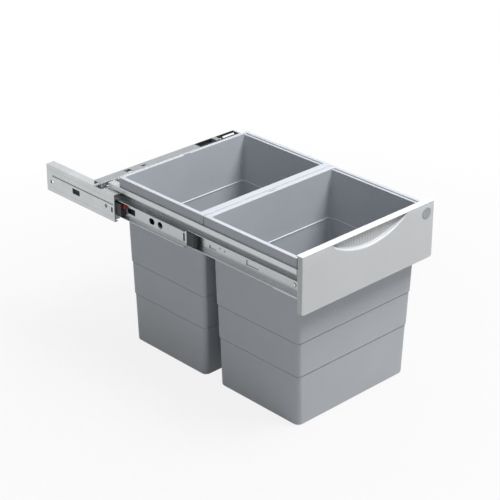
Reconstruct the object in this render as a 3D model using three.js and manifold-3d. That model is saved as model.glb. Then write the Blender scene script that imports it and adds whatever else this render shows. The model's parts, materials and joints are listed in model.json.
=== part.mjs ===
// A pull out waste unit with two bins: a front panel and a frame that carries the bins, on two
// telescopic slides whose wall brackets screw to the sides of a kitchen cabinet.
// Millimetres. X runs across the unit, Y from the front panel to the rear, Z up. Heights count
// from the top of the bins' rims and depths from the back of the front panel.
import * as THREE from "three";
import { mergeVertices } from "three/addons/utils/BufferGeometryUtils.js";
import Module from "manifold-3d";

const wasm = await Module();
wasm.setup();

// The unit as a whole
const unitWidth = 362; // over the two wall brackets, the clear width of the cabinet
const slideTravel = 448;
const leftDrawnOut = slideTravel; // how far each slide is drawn out in the pose that is built
const rightDrawnOut = 0;

// Clearances
const seatGap = 0.3; // between pieces that rest on each other or are fastened together
const ballGap = 0.3; // between a ball and its track
const passGap = 1.5; // between the wall bracket and the frame that passes over it

// Slides: sheet gauges, and the section of each rail
const railGauge = 1.5;
const cabinetRailHeight = 44.6;
const cabinetRailDepth = 11.2;
const cabinetRailLength = 204;
const middleRailHeight = 32.7;
const middleRailLength = 380;
const middleWebGap = 1.1; // from the cabinet rail's edges to the intermediate rail's web
const middleOuterFlange = 7.4;
const middleInnerFlange = 8;
const innerTrackHeight = 20.6; // over the intermediate rail's inner flanges
const drawerRailHeight = 32;
const drawerRailDepth = 11.8;
const drawerRailLength = 482;

// Slides: where each rail starts behind the panel when the slide is pushed together
const cabinetRailSetBack = 15;
const middleRailSetBack = 54;

// Ball cages
const cageGauge = 1;
const cageWebGap = 0.4; // from a cage's web to the rail behind it
const outerCageArm = 7.4;
const innerCageArm = 6.8;
const cageEndRoom = 2; // left between a cage and the stop at each end of its run
const innerCageInset = 22; // from the intermediate rail's front end
const innerCageTailRoom = 14; // from the drawer rail's rear end
const ballsPerRow = 4;

// Wall bracket
const wallGauge = 1.5;
const wallHeight = 55;
const wallTopFlange = 19;
const wallBottomFlange = 8;
const slideDrop = 27.8; // from the wall bracket's top edge to the slide's centre line
const grooveDrop = 10.5;
const grooveWidth = 3;
const grooveDepth = 0.8;
const slitDrop = 20.1;
const slitHeight = 3;
const slitFrontRoom = 4;
const slitRearRoom = 18;
const creaseDrop = 46.5;
const creaseWidth = 2;
const creaseDepth = 0.8;

// End stops, bumpers and release tabs
const stopNose = 15;
const stopTail = 7;
const stopHeight = 25;
const bumperLength = 23;
const bumperHeight = 27.8;
const tabHeight = 7;
const tabWidth = 4;
const tabReach = 5; // in front of the stop
const tabRoot = 3; // inside the stop's pocket
const tabTravel = 3;

// Frame
const frameGauge = 1.5;
const frameFlangeWidth = 15.2;
const frameLipHeight = 10;
const frameLength = 494;
const crossRailDrop = 42;
const middleRailDrop = 12;
const rearRailDrop = 20;
const rearRailDepth = 12;

// Bins
const binDepth = 228;
const binHeight = 346.6;
const binSetBack = 5;
const binSpacing = 1.5;
const rimInset = 4.7; // from the frame's outer edge to the rim's
const rimWidth = 8.5;
const rimCorner = 6;
const rimGauge = 2.5;
const skirtHeight = 17.7;
const bodyClearance = 0.6; // from the bin's body to the frame's web
const bodyFrontInset = 6.5; // from the rim's outer edge to the body's outer face below it
const bodyRearInset = 6.5;
const bodyCorner = 12;
const binWall = 2.2;
const sideDraft = 0.038; // how far a wall leans in, per millimetre of height
const frontDraft = 0.011;
const rearDraft = 0.002;
const stepDepth = 1.2;
const upperStepDrop = 192;
const lowerStepDrop = 254;
const ledgeDrop = 95;
const innerStepDrop = 223;
const stepSlope = 1.2; // height over which a step runs in
const footCorner = 3;
const floorGauge = 2.5;
const rimSlotLength = 16;
const rimSlotWidth = 2;

// Front panel
const panelWidth = 333;
const panelThickness = 11;
const panelTop = 8;
const panelHeight = 111;
const panelCorner = 8;
const panelTopCorner = 2;
const ledgeDepth = 4;
const ledgeGauge = 2.2;
const panelBackWall = 2.5;
const scoopRadius = 168;
const scoopBottom = 25.5;
const pocketCount = 6;
const pocketTop = 36;
const pocketRib = 2.5;
const pocketDepth = 8;
const capDiameter = 22.4;
const capThickness = 1.6;
const capRecess = 1.5;
const capInset = 19.5; // from the panel's right edge
const capDrop = 11.6;

// Panel brackets
const bracketGauge = 1.5;
const bracketPlateWidth = 60;
const bracketShelfLength = 58;
const bracketTopInset = 4;

// Rear bar
const barGauge = 1.5;
const barHeight = 8;
const barDepth = 22;
const barLift = 2.5; // above the wall bracket's top edge
const barSetBack = 6; // behind the frame's side rails
const barEndInset = 3;
const barCutouts = [
  { from: 68, length: 13, width: 13 },
  { from: 107, length: 10, width: 6 },
]; // counted from the bar's left end
const barBracketHeight = 20;
const barBracketLap = 24;
const barBracketTab = 28;

// Soft-close unit in the rear bar
const trayStart = 73; // right of the unit's middle
const trayLength = 101;
const trayGauge = 1.2;
const trayProud = 0.6;
const guideWallInset = 60.5;
const cylinderDiameter = 7;
const cylinderLength = 30;
const cylinderEndRoom = 5;
const dampingRodDiameter = 3.4;
const catchInset = 42;
const catchLength = 11;
const catchProud = 2;
const catchSideGap = 0.4;
const rodInsertion = 26;

// Screws and rivets
const screwDiameter = 4;
const screwHead = 8;
const screwHeadHeight = 2;
const panelScrewDepth = 6;
const panelScrewPlaces = [55, 130]; // either side of the middle
const panelScrewDrop = 29;
const railScrewInset = 16;
const railScrewTailInset = 7;
const rivetDiameter = 4;
const rivetHead = 7;
const rivetHeadHeight = 1;

// Distances from the middle of the unit outwards
const wallFace = unitWidth / 2;
const cabinetWebOuter = wallFace - wallGauge - seatGap;
const cabinetWebInner = cabinetWebOuter - railGauge;
const cabinetEdge = cabinetWebOuter - cabinetRailDepth;
const middleWebOuter = cabinetEdge - middleWebGap;
const middleWebInner = middleWebOuter - railGauge;
const drawerEdge = middleWebInner - seatGap;
const drawerWebInner = drawerEdge - drawerRailDepth;
const drawerWebOuter = drawerWebInner + railGauge;
const frameWebOuter = drawerWebInner - seatGap;
const frameWebInner = frameWebOuter - frameGauge;
const frameEdge = frameWebInner + frameFlangeWidth;
const rimHalf = frameEdge - rimInset;

// Heights
const frameTop = -skirtHeight - seatGap;
const frameLipBottom = frameTop - frameLipHeight;
const wallTop = frameLipBottom - passGap;
const slideCentre = wallTop - slideDrop;
const frameBottom = slideCentre - drawerRailHeight / 2;
const barBottom = wallTop + barLift;
const barTop = barBottom + barHeight;

// Depths
const frameFront = seatGap + bracketGauge + seatGap;
const frameRear = frameFront + frameLength;
const drawerRailRear = frameFront + drawerRailLength;
const barFront = frameRear + barSetBack;
const barMiddle = barFront + barDepth / 2;

// Tracks and cages
const outerTrack = cabinetRailHeight / 2 - railGauge;
const innerTrack = drawerRailHeight / 2 - railGauge;
const outerBall = outerTrack - middleRailHeight / 2 - 2 * ballGap;
const innerBall = innerTrack - innerTrackHeight / 2 - 2 * ballGap;
const outerBallRow = (outerTrack + middleRailHeight / 2) / 2;
const innerBallRow = (innerTrack + innerTrackHeight / 2) / 2;
const outerCageSetBack = cabinetRailSetBack + stopTail + cageEndRoom + slideTravel / 4;
const outerCageLength = cabinetRailLength - stopTail - 2 * cageEndRoom - slideTravel / 4;
const innerCageSetBack = middleRailSetBack + innerCageInset + slideTravel / 4;
const innerCageLength =
  drawerRailRear - innerCageTailRoom - innerCageSetBack - slideTravel / 4;

const finishes = {
  panel: [0xd3d6d8, 0.45, 0],
  cap: [0xa3a8ab, 0.5, 0],
  bin: [0x969ca4, 0.5, 0],
  frame: [0xb4b8ba, 0.38, 0.85],
  slide: [0xa9adaf, 0.3, 0.95],
  bar: [0x9b9fa1, 0.42, 0.85],
  darkPlastic: [0x24272a, 0.5, 0],
  tab: [0xc4392f, 0.45, 0],
  catch: [0x7d857f, 0.5, 0],
  rod: [0xe4e6e6, 0.4, 0],
  screw: [0xc2c5c7, 0.3, 0.95],
};

// A closed geometry as a solid that can be joined and cut.
function solid(geometry) {
  const bare = geometry.clone();
  bare.deleteAttribute("normal");
  bare.deleteAttribute("uv");
  const merged = mergeVertices(bare, 1e-4);
  return new wasm.Manifold(
    new wasm.Mesh({
      numProp: 3,
      vertProperties: new Float32Array(merged.attributes.position.array),
      triVerts: new Uint32Array(merged.index.array),
    }),
  );
}

function geometryOf(body) {
  const cut = body.getMesh();
  const geometry = new THREE.BufferGeometry();
  geometry.setAttribute("position", new THREE.BufferAttribute(cut.vertProperties, 3));
  geometry.setIndex(new THREE.BufferAttribute(cut.triVerts, 1));
  geometry.computeVertexNormals();
  return geometry;
}

function join(geometries) {
  return geometryOf(geometries.map(solid).reduce((all, next) => all.add(next)));
}

function carve(geometry, cutters) {
  return geometryOf(cutters.map(solid).reduce((all, next) => all.subtract(next), solid(geometry)));
}

function piece(name, geometry, finish) {
  const [color, roughness, metalness] = finishes[finish];
  const material = new THREE.MeshStandardMaterial({ color, roughness, metalness });
  const mesh = new THREE.Mesh(geometry, material);
  mesh.name = name;
  return mesh;
}

function block(x0, x1, y0, y1, z0, z1) {
  const geometry = new THREE.BoxGeometry(Math.abs(x1 - x0), Math.abs(y1 - y0), Math.abs(z1 - z0));
  return geometry.translate((x0 + x1) / 2, (y0 + y1) / 2, (z0 + z1) / 2);
}

// A round bar along one axis, from one station on it to the next.
function round(axis, diameter, from, to, centre, sides = 20) {
  const radius = diameter / 2;
  const geometry = new THREE.CylinderGeometry(radius, radius, Math.abs(to - from), sides);
  const middle = (from + to) / 2;
  if (axis === "x") {
    return geometry.rotateZ(-Math.PI / 2).translate(middle, centre[0], centre[1]);
  }
  if (axis === "z") {
    return geometry.rotateX(Math.PI / 2).translate(centre[0], centre[1], middle);
  }
  return geometry.translate(centre[0], middle, centre[1]);
}

function outline(points) {
  return new THREE.Shape(points.map(([a, b]) => new THREE.Vector2(a, b)));
}

// A section drawn in X and Z, carried along Y.
function alongY(shape, y0, y1, curveSegments = 12) {
  const options = { depth: y1 - y0, bevelEnabled: false, curveSegments };
  return new THREE.ExtrudeGeometry(shape, options).rotateX(Math.PI / 2).translate(0, y1, 0);
}

// A section drawn in Y and Z, carried along X.
function alongX(shape, x0, x1) {
  const options = { depth: x1 - x0, bevelEnabled: false };
  return new THREE.ExtrudeGeometry(shape, options)
    .rotateX(Math.PI / 2)
    .rotateZ(Math.PI / 2)
    .translate(x0, 0, 0);
}

// A plan drawn in X and Y, carried up along Z.
function alongZ(shape, z0, z1) {
  const options = { depth: z1 - z0, bevelEnabled: false };
  return new THREE.ExtrudeGeometry(shape, options).translate(0, 0, z0);
}

// The section of a bent sheet: its face line, and the same line moved over by the gauge.
function sheet(face, gauge) {
  const normals = face.slice(1).map(([x, y], i) => {
    const length = Math.hypot(x - face[i][0], y - face[i][1]);
    return [-(y - face[i][1]) / length, (x - face[i][0]) / length];
  });
  const back = face.map(([x, y], i) => {
    const before = normals[Math.max(i - 1, 0)];
    const after = normals[Math.min(i, normals.length - 1)];
    const share = gauge / (1 + before[0] * after[0] + before[1] * after[1]);
    return [x + (before[0] + after[0]) * share, y + (before[1] + after[1]) * share];
  });
  return [...face, ...back.reverse()];
}

function mirrored(points, side) {
  return points.map(([x, other]) => [side * x, other]);
}

// A rounded rectangle seen from above, as a ring of points at one height.
function ring({ half, front, rear, corner, z }, cornerSteps = 5) {
  const centres = [
    [half - corner, rear - corner],
    [corner - half, rear - corner],
    [corner - half, front + corner],
    [half - corner, front + corner],
  ];
  return centres.flatMap(([x, y], quarter) =>
    Array.from({ length: cornerSteps + 1 }, (_, step) => {
      const angle = ((quarter + step / cornerSteps) * Math.PI) / 2;
      return [x + corner * Math.cos(angle), y + corner * Math.sin(angle), z];
    }),
  );
}

// A closed skin through rings of equal length, from a flat cap on the first to one on the last.
function skin(rings) {
  const count = rings[0].length;
  const positions = rings.flat(2);
  const index = [];
  for (let r = 0; r + 1 < rings.length; r += 1) {
    for (let i = 0; i < count; i += 1) {
      const a = r * count + i;
      const b = r * count + ((i + 1) % count);
      index.push(a, b, b + count, a, b + count, a + count);
    }
  }
  const last = (rings.length - 1) * count;
  for (let i = 1; i + 1 < count; i += 1) {
    index.push(0, i + 1, i);
    index.push(last, last + i, last + i + 1);
  }
  const geometry = new THREE.BufferGeometry();
  geometry.setAttribute("position", new THREE.Float32BufferAttribute(positions, 3));
  geometry.setIndex(index);
  return geometry.toNonIndexed();
}

// Bin: a stepped, tapering bucket that hangs in the frame by the skirt round its rim. Its own
// depth starts at the front edge of the rim.
function binGeometry() {
  const topHalf = frameWebInner - bodyClearance;
  const bodyTop = frameTop;
  // The body's outline at a height, moved in by the steps passed and by a wall's thickness.
  const body = (z, steps, wall) => {
    const down = Math.max(bodyTop - z, 0);
    const moved = steps * stepDepth + wall;
    return {
      half: topHalf - sideDraft * down - moved,
      front: bodyFrontInset + frontDraft * down + moved,
      rear: binDepth - bodyRearInset - rearDraft * down - moved,
      corner: bodyCorner - wall,
      z,
    };
  };
  const rim = (inset, z) => ({
    half: rimHalf - inset,
    front: inset,
    rear: binDepth - inset,
    corner: Math.max(rimCorner - inset, 1),
    z,
  });
  const mouth = (z) => ({ ...rim(rimWidth, z), corner: bodyCorner - binWall });
  const foot = body(-binHeight, 2, 0);
  const footRings = [0, 0.5, 1].map((turn) => {
    const angle = (turn * Math.PI) / 2;
    const inset = footCorner * (1 - Math.sin(angle));
    return {
      half: foot.half - inset,
      front: foot.front + inset,
      rear: foot.rear - inset,
      corner: foot.corner - inset,
      z: foot.z + footCorner * (1 - Math.cos(angle)),
    };
  });
  const lowerStep = -lowerStepDrop;
  const upperStep = -upperStepDrop;
  const ledge = -ledgeDrop;
  const innerStep = -innerStepDrop;
  const rings = [
    ...footRings,
    body(lowerStep - stepSlope, 2, 0),
    body(lowerStep, 1, 0),
    body(upperStep - stepSlope, 1, 0),
    body(upperStep, 0, 0),
    body(bodyTop, 0, 0),
    body(-rimGauge, 0, 0),
    rim(binWall, -rimGauge),
    rim(binWall, -skirtHeight),
    rim(0, -skirtHeight),
    rim(0, -1),
    rim(1, 0),
    mouth(0),
    body(bodyTop, 0, binWall),
    body(ledge, 0, binWall),
    body(ledge - stepSlope, 1, binWall),
    body(innerStep, 1, binWall),
    body(innerStep - stepSlope, 2, binWall),
    body(floorGauge - binHeight, 2, binWall),
  ];
  const slotRear = binDepth - binWall - rimSlotWidth;
  const slot = block(
    -rimSlotLength / 2,
    rimSlotLength / 2,
    slotRear - rimSlotWidth,
    slotRear,
    -rimGauge - 1,
    1,
  );
  return carve(skin(rings.map((each) => ring(each))), [slot]);
}

// Front panel: a moulded plate with a scooped grip under its top lip and ribs behind.
function panelGeometry() {
  const half = panelWidth / 2;
  const bottom = panelTop - panelHeight;
  const top = panelTop;
  const plate = new THREE.Shape();
  plate.moveTo(-half + panelCorner, bottom);
  plate.lineTo(half - panelCorner, bottom);
  plate.absarc(half - panelCorner, bottom + panelCorner, panelCorner, -Math.PI / 2, 0);
  plate.lineTo(half, top - panelTopCorner);
  plate.absarc(half - panelTopCorner, top - panelTopCorner, panelTopCorner, 0, Math.PI / 2);
  plate.lineTo(-half + panelTopCorner, top);
  plate.absarc(-half + panelTopCorner, top - panelTopCorner, panelTopCorner, Math.PI / 2, Math.PI);
  plate.lineTo(-half, bottom + panelCorner);
  plate.absarc(-half + panelCorner, bottom + panelCorner, panelCorner, Math.PI, 1.5 * Math.PI);
  const lipBottom = top - ledgeGauge;
  const scoopCentre = scoopRadius - scoopBottom;
  const reach = Math.asin(
    Math.sqrt(scoopRadius ** 2 - (scoopCentre - lipBottom) ** 2) / scoopRadius,
  );
  const scoop = new THREE.Shape();
  scoop.absarc(0, scoopCentre, scoopRadius, -Math.PI / 2 - reach, -Math.PI / 2 + reach);
  const front = -panelThickness;
  const ledge = block(
    -half + panelTopCorner,
    half - panelTopCorner,
    -1,
    ledgeDepth,
    lipBottom,
    top,
  );
  const pocketPitch = (panelWidth - pocketRib) / pocketCount;
  const pockets = Array.from({ length: pocketCount }, (_, i) => {
    const from = -half + pocketRib + i * pocketPitch;
    const low = bottom + (i === 0 || i === pocketCount - 1 ? panelCorner : pocketRib);
    return block(from, from + pocketPitch - pocketRib, -pocketDepth, 1, low, -pocketTop);
  });
  const screwHoles = panelScrewPlaces.flatMap((place) =>
    [-1, 1].map((side) =>
      round("y", screwDiameter + 2 * seatGap, -panelScrewDepth - seatGap, 1, [
        side * place,
        -panelScrewDrop,
      ]),
    ),
  );
  const capSeat = round("y", capDiameter + 2 * seatGap, front - 1, front + capRecess, [
    half - capInset,
    -capDrop,
  ], 40);
  return carve(join([alongY(plate, front, 0, 6), ledge]), [
    alongY(scoop, front - 1, -panelBackWall, 32),
    ...pockets,
    ...screwHoles,
    capSeat,
  ]);
}

function cap() {
  const front = -panelThickness + capRecess - seatGap - capThickness;
  const geometry = round("y", capDiameter, front, front + capThickness, [
    panelWidth / 2 - capInset,
    -capDrop,
  ], 40);
  return piece("panel_cap", geometry, "cap");
}

// A row of balls on each arm of a cage, joined by its web. Local Y starts at the cage's front.
function cageGeometry({ side, web, arm, row, ball, length }) {
  const armEnd = web + row.direction * arm;
  const faces = [web, web + row.direction * cageGauge];
  const strips = [
    block(side * faces[0], side * faces[1], 0, length, -row.height, row.height),
    ...[-1, 1].map((up) =>
      block(
        side * faces[0],
        side * armEnd,
        0,
        length,
        up * row.height - cageGauge / 2,
        up * row.height + cageGauge / 2,
      ),
    ),
  ];
  const pitch = length / ballsPerRow;
  const balls = [-1, 1].flatMap((up) =>
    Array.from({ length: ballsPerRow }, (_, i) =>
      new THREE.SphereGeometry(ball / 2, 8, 6)
        .rotateX(Math.PI / 2)
        .translate(side * (armEnd - row.direction * ball * 0.6), (i + 0.5) * pitch, up * row.height),
    ),
  );
  return join([...strips, ...balls]).translate(0, 0, slideCentre);
}

// Holes that go through the wall bracket and the cabinet rail behind it, from the rail's front.
function wallHoles(side) {
  const [from, to] = [side * (cabinetWebInner - 1), side * (wallFace + 1)];
  const hole = (along, drop, diameter) =>
    round("x", diameter, from, to, [along, slideCentre - drop]);
  const slot = (y0, y1, z0, z1) => block(from, to, y0, y1, slideCentre + z0, slideCentre + z1);
  return [
    hole(24.3, 1.6, 7.5),
    slot(5, 9.5, -9, 1),
    slot(103, 125, -9, 2),
    slot(184, 193, -9, -3),
  ];
}

function cabinetRail(side) {
  const half = cabinetRailHeight / 2;
  const face = [
    [cabinetEdge, slideCentre - half],
    [cabinetWebOuter, slideCentre - half],
    [cabinetWebOuter, slideCentre + half],
    [cabinetEdge, slideCentre + half],
  ];
  const section = outline(mirrored(sheet(face, railGauge), side));
  return carve(alongY(section, 0, cabinetRailLength), wallHoles(side));
}

// A groove with slanted sides rolled into the wall bracket's face, from its upper edge down.
function channel(height, width, depth) {
  return [
    [wallFace, height + width / 2],
    [wallFace - depth, height + (width - depth) / 2],
    [wallFace - depth, height - (width - depth) / 2],
    [wallFace, height - width / 2],
  ];
}

function wallBracket(side) {
  const bottom = wallTop - wallHeight;
  const inner = wallFace - wallGauge;
  const groove = wallTop - grooveDrop;
  const crease = wallTop - creaseDrop;
  const section = [
    [wallFace - wallTopFlange, wallTop],
    [wallFace, wallTop],
    ...channel(groove, grooveWidth, grooveDepth),
    ...channel(crease, creaseWidth, creaseDepth),
    [wallFace, bottom],
    [wallFace - wallBottomFlange, bottom],
    [wallFace - wallBottomFlange, bottom + wallGauge],
    [inner, bottom + wallGauge],
    [inner, wallTop - wallGauge],
    [wallFace - wallTopFlange, wallTop - wallGauge],
  ];
  const slit = wallTop - slitDrop;
  return carve(alongY(outline(mirrored(section, side)), 0, cabinetRailLength), [
    ...wallHoles(side),
    block(
      side * (inner - 0.1),
      side * (wallFace + 1),
      slitFrontRoom,
      cabinetRailLength - slitRearRoom,
      slit - slitHeight / 2,
      slit + slitHeight / 2,
    ),
  ]);
}

// Intermediate rail: outer flanges run in the cabinet rail, inner flanges in the drawer rail.
function middleRail(side) {
  const high = middleRailHeight / 2;
  const low = innerTrackHeight / 2;
  const outerEdge = middleWebOuter + middleOuterFlange;
  const innerEdge = middleWebInner - middleInnerFlange;
  const upper = [
    [outerEdge, high],
    [middleWebInner, high],
    [middleWebInner, low],
    [innerEdge, low],
    [innerEdge, low - railGauge],
    [middleWebInner, low - railGauge],
  ];
  const lower = upper.map(([x, z]) => [x, -z]).reverse();
  const web = [
    [outerEdge, railGauge - high],
    [middleWebOuter, railGauge - high],
    [middleWebOuter, high - railGauge],
    [outerEdge, high - railGauge],
  ];
  const section = [...upper, ...lower, ...web].map(([x, z]) => [x, z + slideCentre]);
  const [from, to] = [side * (middleWebInner - 1), side * (middleWebOuter + 1)];
  const hole = (along, up, diameter) => round("x", diameter, from, to, [along, slideCentre + up]);
  const slot = (y0, y1, z0, z1) => block(from, to, y0, y1, slideCentre + z0, slideCentre + z1);
  return carve(alongY(outline(mirrored(section, side)), 0, middleRailLength), [
    slot(5, 9, -8, 8),
    hole(72, 0.5, 13),
    hole(93.5, 0.5, 12),
    hole(96.5, 0.5, 12),
    slot(142, 160, -5.5, 6.5),
    hole(160, 0.5, 12),
    slot(330, 350, -4, 4),
  ]);
}

function drawerRail(side) {
  const half = drawerRailHeight / 2;
  const face = [
    [drawerEdge, slideCentre + half],
    [drawerWebInner, slideCentre + half],
    [drawerWebInner, slideCentre - half],
    [drawerEdge, slideCentre - half],
  ];
  const section = outline(mirrored(sheet(face, railGauge), side));
  const [from, to] = [side * (drawerWebInner - 1), side * (drawerWebOuter + 1)];
  const hole = (along, up, diameter) => round("x", diameter, from, to, [along, slideCentre + up]);
  const screwHole = screwDiameter + 2 * seatGap;
  return carve(alongY(section, 0, drawerRailLength), [
    hole(railScrewInset, 0, screwHole),
    hole(drawerRailLength - railScrewTailInset, 0, screwHole),
    block(from, to, 104, 134, slideCentre - 5, slideCentre + 5),
    hole(189, 0.7, 3.5),
    hole(201, 2.5, 3.5),
    block(from, to, 211, 229, slideCentre - 6, slideCentre + 1),
  ]);
}

// The moulded stop in the mouth of the cabinet rail, with a pocket for the release tab.
const tabMiddle = slideCentre + stopHeight / 2 - 2 - tabHeight / 2;
const tabFrom = middleWebOuter + seatGap + 1;

function endStop(side) {
  const spans = [side * (middleWebOuter + seatGap), side * (cabinetWebInner - seatGap)];
  const body = block(
    ...spans,
    -stopNose,
    stopTail,
    slideCentre - stopHeight / 2,
    slideCentre + stopHeight / 2,
  );
  const pocket = block(
    side * (tabFrom - seatGap - 2),
    side * (tabFrom + tabWidth + seatGap),
    -stopNose - 1,
    -stopNose + tabRoot + tabTravel + seatGap,
    tabMiddle - tabHeight / 2 - seatGap,
    tabMiddle + tabHeight / 2 + seatGap,
  );
  return carve(body, [pocket]);
}

function releaseTab(side) {
  return block(
    side * tabFrom,
    side * (tabFrom + tabWidth),
    -stopNose - tabReach,
    -stopNose + tabRoot,
    tabMiddle - tabHeight / 2,
    tabMiddle + tabHeight / 2,
  );
}

// The bumper on the front end of the intermediate rail, which runs inside the drawer rail.
function bumper(side) {
  const half = bumperHeight / 2;
  const nose = 4;
  const plan = [
    [drawerWebOuter + 1.2, -seatGap],
    [middleWebOuter + seatGap, -seatGap],
    [middleWebOuter + seatGap, nose - bumperLength],
    [middleWebOuter - nose, -bumperLength],
    [drawerWebOuter + 1.2, -bumperLength],
  ];
  return alongZ(outline(mirrored(plan, side)), slideCentre - half, slideCentre + half);
}

// One telescopic slide and its wall bracket, drawn out by the given distance.
function slide(name, side, drawnOut) {
  const group = new THREE.Group();
  const put = (mesh, setBack, share) => {
    mesh.position.y = setBack + share * drawnOut;
    group.add(mesh);
  };
  const label = (what) => what + "_" + name;
  const metal = (what, geometry) => piece(label(what), geometry, "slide");
  put(piece(label("wall_bracket"), wallBracket(side), "frame"), cabinetRailSetBack, 1);
  put(metal("cabinet_rail", cabinetRail(side)), cabinetRailSetBack, 1);
  put(piece(label("end_stop"), endStop(side), "darkPlastic"), cabinetRailSetBack, 1);
  put(piece(label("release_tab"), releaseTab(side), "tab"), cabinetRailSetBack, 1);
  const outerCage = cageGeometry({
    side,
    web: cabinetWebInner - cageWebGap,
    arm: outerCageArm,
    row: { height: outerBallRow, direction: -1 },
    ball: outerBall,
    length: outerCageLength,
  });
  put(metal("outer_ball_cage", outerCage), outerCageSetBack, 0.75);
  put(metal("intermediate_rail", middleRail(side)), middleRailSetBack, 0.5);
  put(piece(label("rail_bumper"), bumper(side), "darkPlastic"), middleRailSetBack, 0.5);
  const innerCage = cageGeometry({
    side,
    web: drawerWebOuter + cageWebGap,
    arm: innerCageArm,
    row: { height: innerBallRow, direction: 1 },
    ball: innerBall,
    length: innerCageLength,
  });
  put(metal("inner_ball_cage", innerCage), innerCageSetBack, 0.25);
  return group;
}

// A headed pin along X or Y: its head lies on the far side of the seat from the tip.
function headedPin(axis, diameter, head, headHeight, seat, tip, centre) {
  const turn = Math.sign(seat - tip);
  const headEnd = seat + turn * headHeight;
  return join([
    round(axis, diameter, tip, seat + turn * headHeight * 0.5, centre),
    round(axis, head, seat, headEnd, centre),
  ]);
}

function frameSideRail(side) {
  const lip = [
    [frameWebInner, frameBottom],
    [frameWebInner, frameTop],
    [frameEdge, frameTop],
    [frameEdge, frameLipBottom],
  ];
  const profile = sheet(lip, -frameGauge);
  const [from, to] = [side * (frameWebInner - 1), side * (frameWebOuter + 1)];
  const hole = (along, height, diameter) => round("x", diameter, from, to, [along, height]);
  const screwHole = screwDiameter + 2 * seatGap;
  return carve(alongY(outline(mirrored(profile, side)), frameFront, frameRear), [
    hole(frameFront + railScrewInset, slideCentre, screwHole),
    hole(drawerRailRear - railScrewTailInset, slideCentre, screwHole),
    hole(barRivetAlong, barRivetHeight, rivetDiameter + 2 * seatGap),
  ]);
}

const barRivetAlong = (drawerRailRear + frameRear) / 2;
const barRivetHeight = barTop - 1 - barBracketHeight / 2;
const crossEnd = frameWebInner - seatGap;
const rimRear = binSetBack + binDepth;
const secondRimFront = rimRear + binSpacing;
const secondRimRear = secondRimFront + binDepth;

function frontRail() {
  const flangeEnd = binSetBack + bodyFrontInset - bodyClearance;
  const face = [
    [flangeEnd, frameTop],
    [frameFront, frameTop],
    [frameFront, frameTop - crossRailDrop],
  ];
  const holes = panelScrewPlaces.flatMap((place) =>
    [-1, 1].map((side) =>
      round("y", screwDiameter + 2 * seatGap, frameFront - 1, frameFront + frameGauge + 1, [
        side * place,
        -panelScrewDrop,
      ]),
    ),
  );
  return carve(alongX(outline(sheet(face, frameGauge)), -crossEnd, crossEnd), holes);
}

function middleCrossRail() {
  const from = rimRear - bodyRearInset + bodyClearance;
  const to = secondRimFront + bodyFrontInset - bodyClearance;
  const face = [
    [from, frameTop - middleRailDrop],
    [from, frameTop],
    [to, frameTop],
    [to, frameTop - middleRailDrop],
  ];
  return alongX(outline(sheet(face, -frameGauge)), -crossEnd, crossEnd);
}

function rearRail() {
  const from = secondRimRear - bodyRearInset + bodyClearance;
  const face = [
    [from, frameTop],
    [from + rearRailDepth, frameTop],
    [from + rearRailDepth, frameTop - rearRailDrop],
  ];
  return alongX(outline(sheet(face, -frameGauge)), -crossEnd, crossEnd);
}

// The angle between the panel and the frame: a plate behind the panel and a shelf under the rail.
function panelBracket(side) {
  const shelfTop = frameBottom - seatGap;
  const edge = drawerEdge - seatGap;
  const plate = block(
    side * (edge - bracketPlateWidth),
    side * edge,
    seatGap,
    seatGap + bracketGauge,
    shelfTop - bracketGauge,
    frameTop - bracketTopInset,
  );
  const shelf = block(
    side * drawerWebInner,
    side * edge,
    seatGap,
    frameFront + bracketShelfLength,
    shelfTop - bracketGauge,
    shelfTop,
  );
  const hole = round("y", screwDiameter + 2 * seatGap, 0, frameFront, [
    side * panelScrewPlaces[1],
    -panelScrewDrop,
  ]);
  return carve(join([plate, shelf]), [hole]);
}

// The bent plate that holds the rear bar to the end of a side rail.
function barBracket(side) {
  const face = [
    [frameWebInner - seatGap, frameRear - barBracketLap],
    [frameWebInner - seatGap, barFront - seatGap],
    [frameWebInner - seatGap - barBracketTab, barFront - seatGap],
  ];
  const plan = outline(mirrored(sheet(face, bracketGauge), side));
  const [from, to] = [side * (frameWebInner - 4), side * (frameWebInner + 1)];
  const rivetHole = rivetDiameter + 2 * seatGap;
  return carve(alongZ(plan, barTop - 1 - barBracketHeight, barTop - 1), [
    round("x", rivetHole, from, to, [barRivetAlong, barRivetHeight]),
    round("y", rivetHole, barFront - 4, barFront + 1, [side * tabRivetPlace, tabRivetHeight]),
  ]);
}

const tabRivetPlace = frameWebInner - seatGap - barBracketTab / 2;
const tabRivetHeight = (barBottom + barTop - barGauge) / 2;
const barHalf = wallFace - barEndInset;

function rearBar() {
  const rear = barFront + barDepth;
  const face = [
    [barFront, barBottom],
    [barFront, barTop],
    [rear, barTop],
    [rear, barBottom],
  ];
  const windows = barCutouts.map(({ from, length, width }) =>
    block(
      from - barHalf,
      from + length - barHalf,
      barMiddle - width / 2,
      barMiddle + width / 2,
      barTop - barGauge - 1,
      barTop + 1,
    ),
  );
  const trayMouth = block(
    trayStart - seatGap,
    trayStart + trayLength + seatGap,
    barFront + barGauge,
    rear - barGauge,
    barTop - barGauge - 1,
    barTop + 1,
  );
  const rivets = [-1, 1].map((side) =>
    round("y", rivetDiameter + 2 * seatGap, barFront - 1, barFront + barGauge + 0.1, [
      side * tabRivetPlace,
      tabRivetHeight,
    ]),
  );
  return carve(alongX(outline(sheet(face, -barGauge)), -barHalf, barHalf), [
    ...windows,
    trayMouth,
    ...rivets,
  ]);
}

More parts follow.
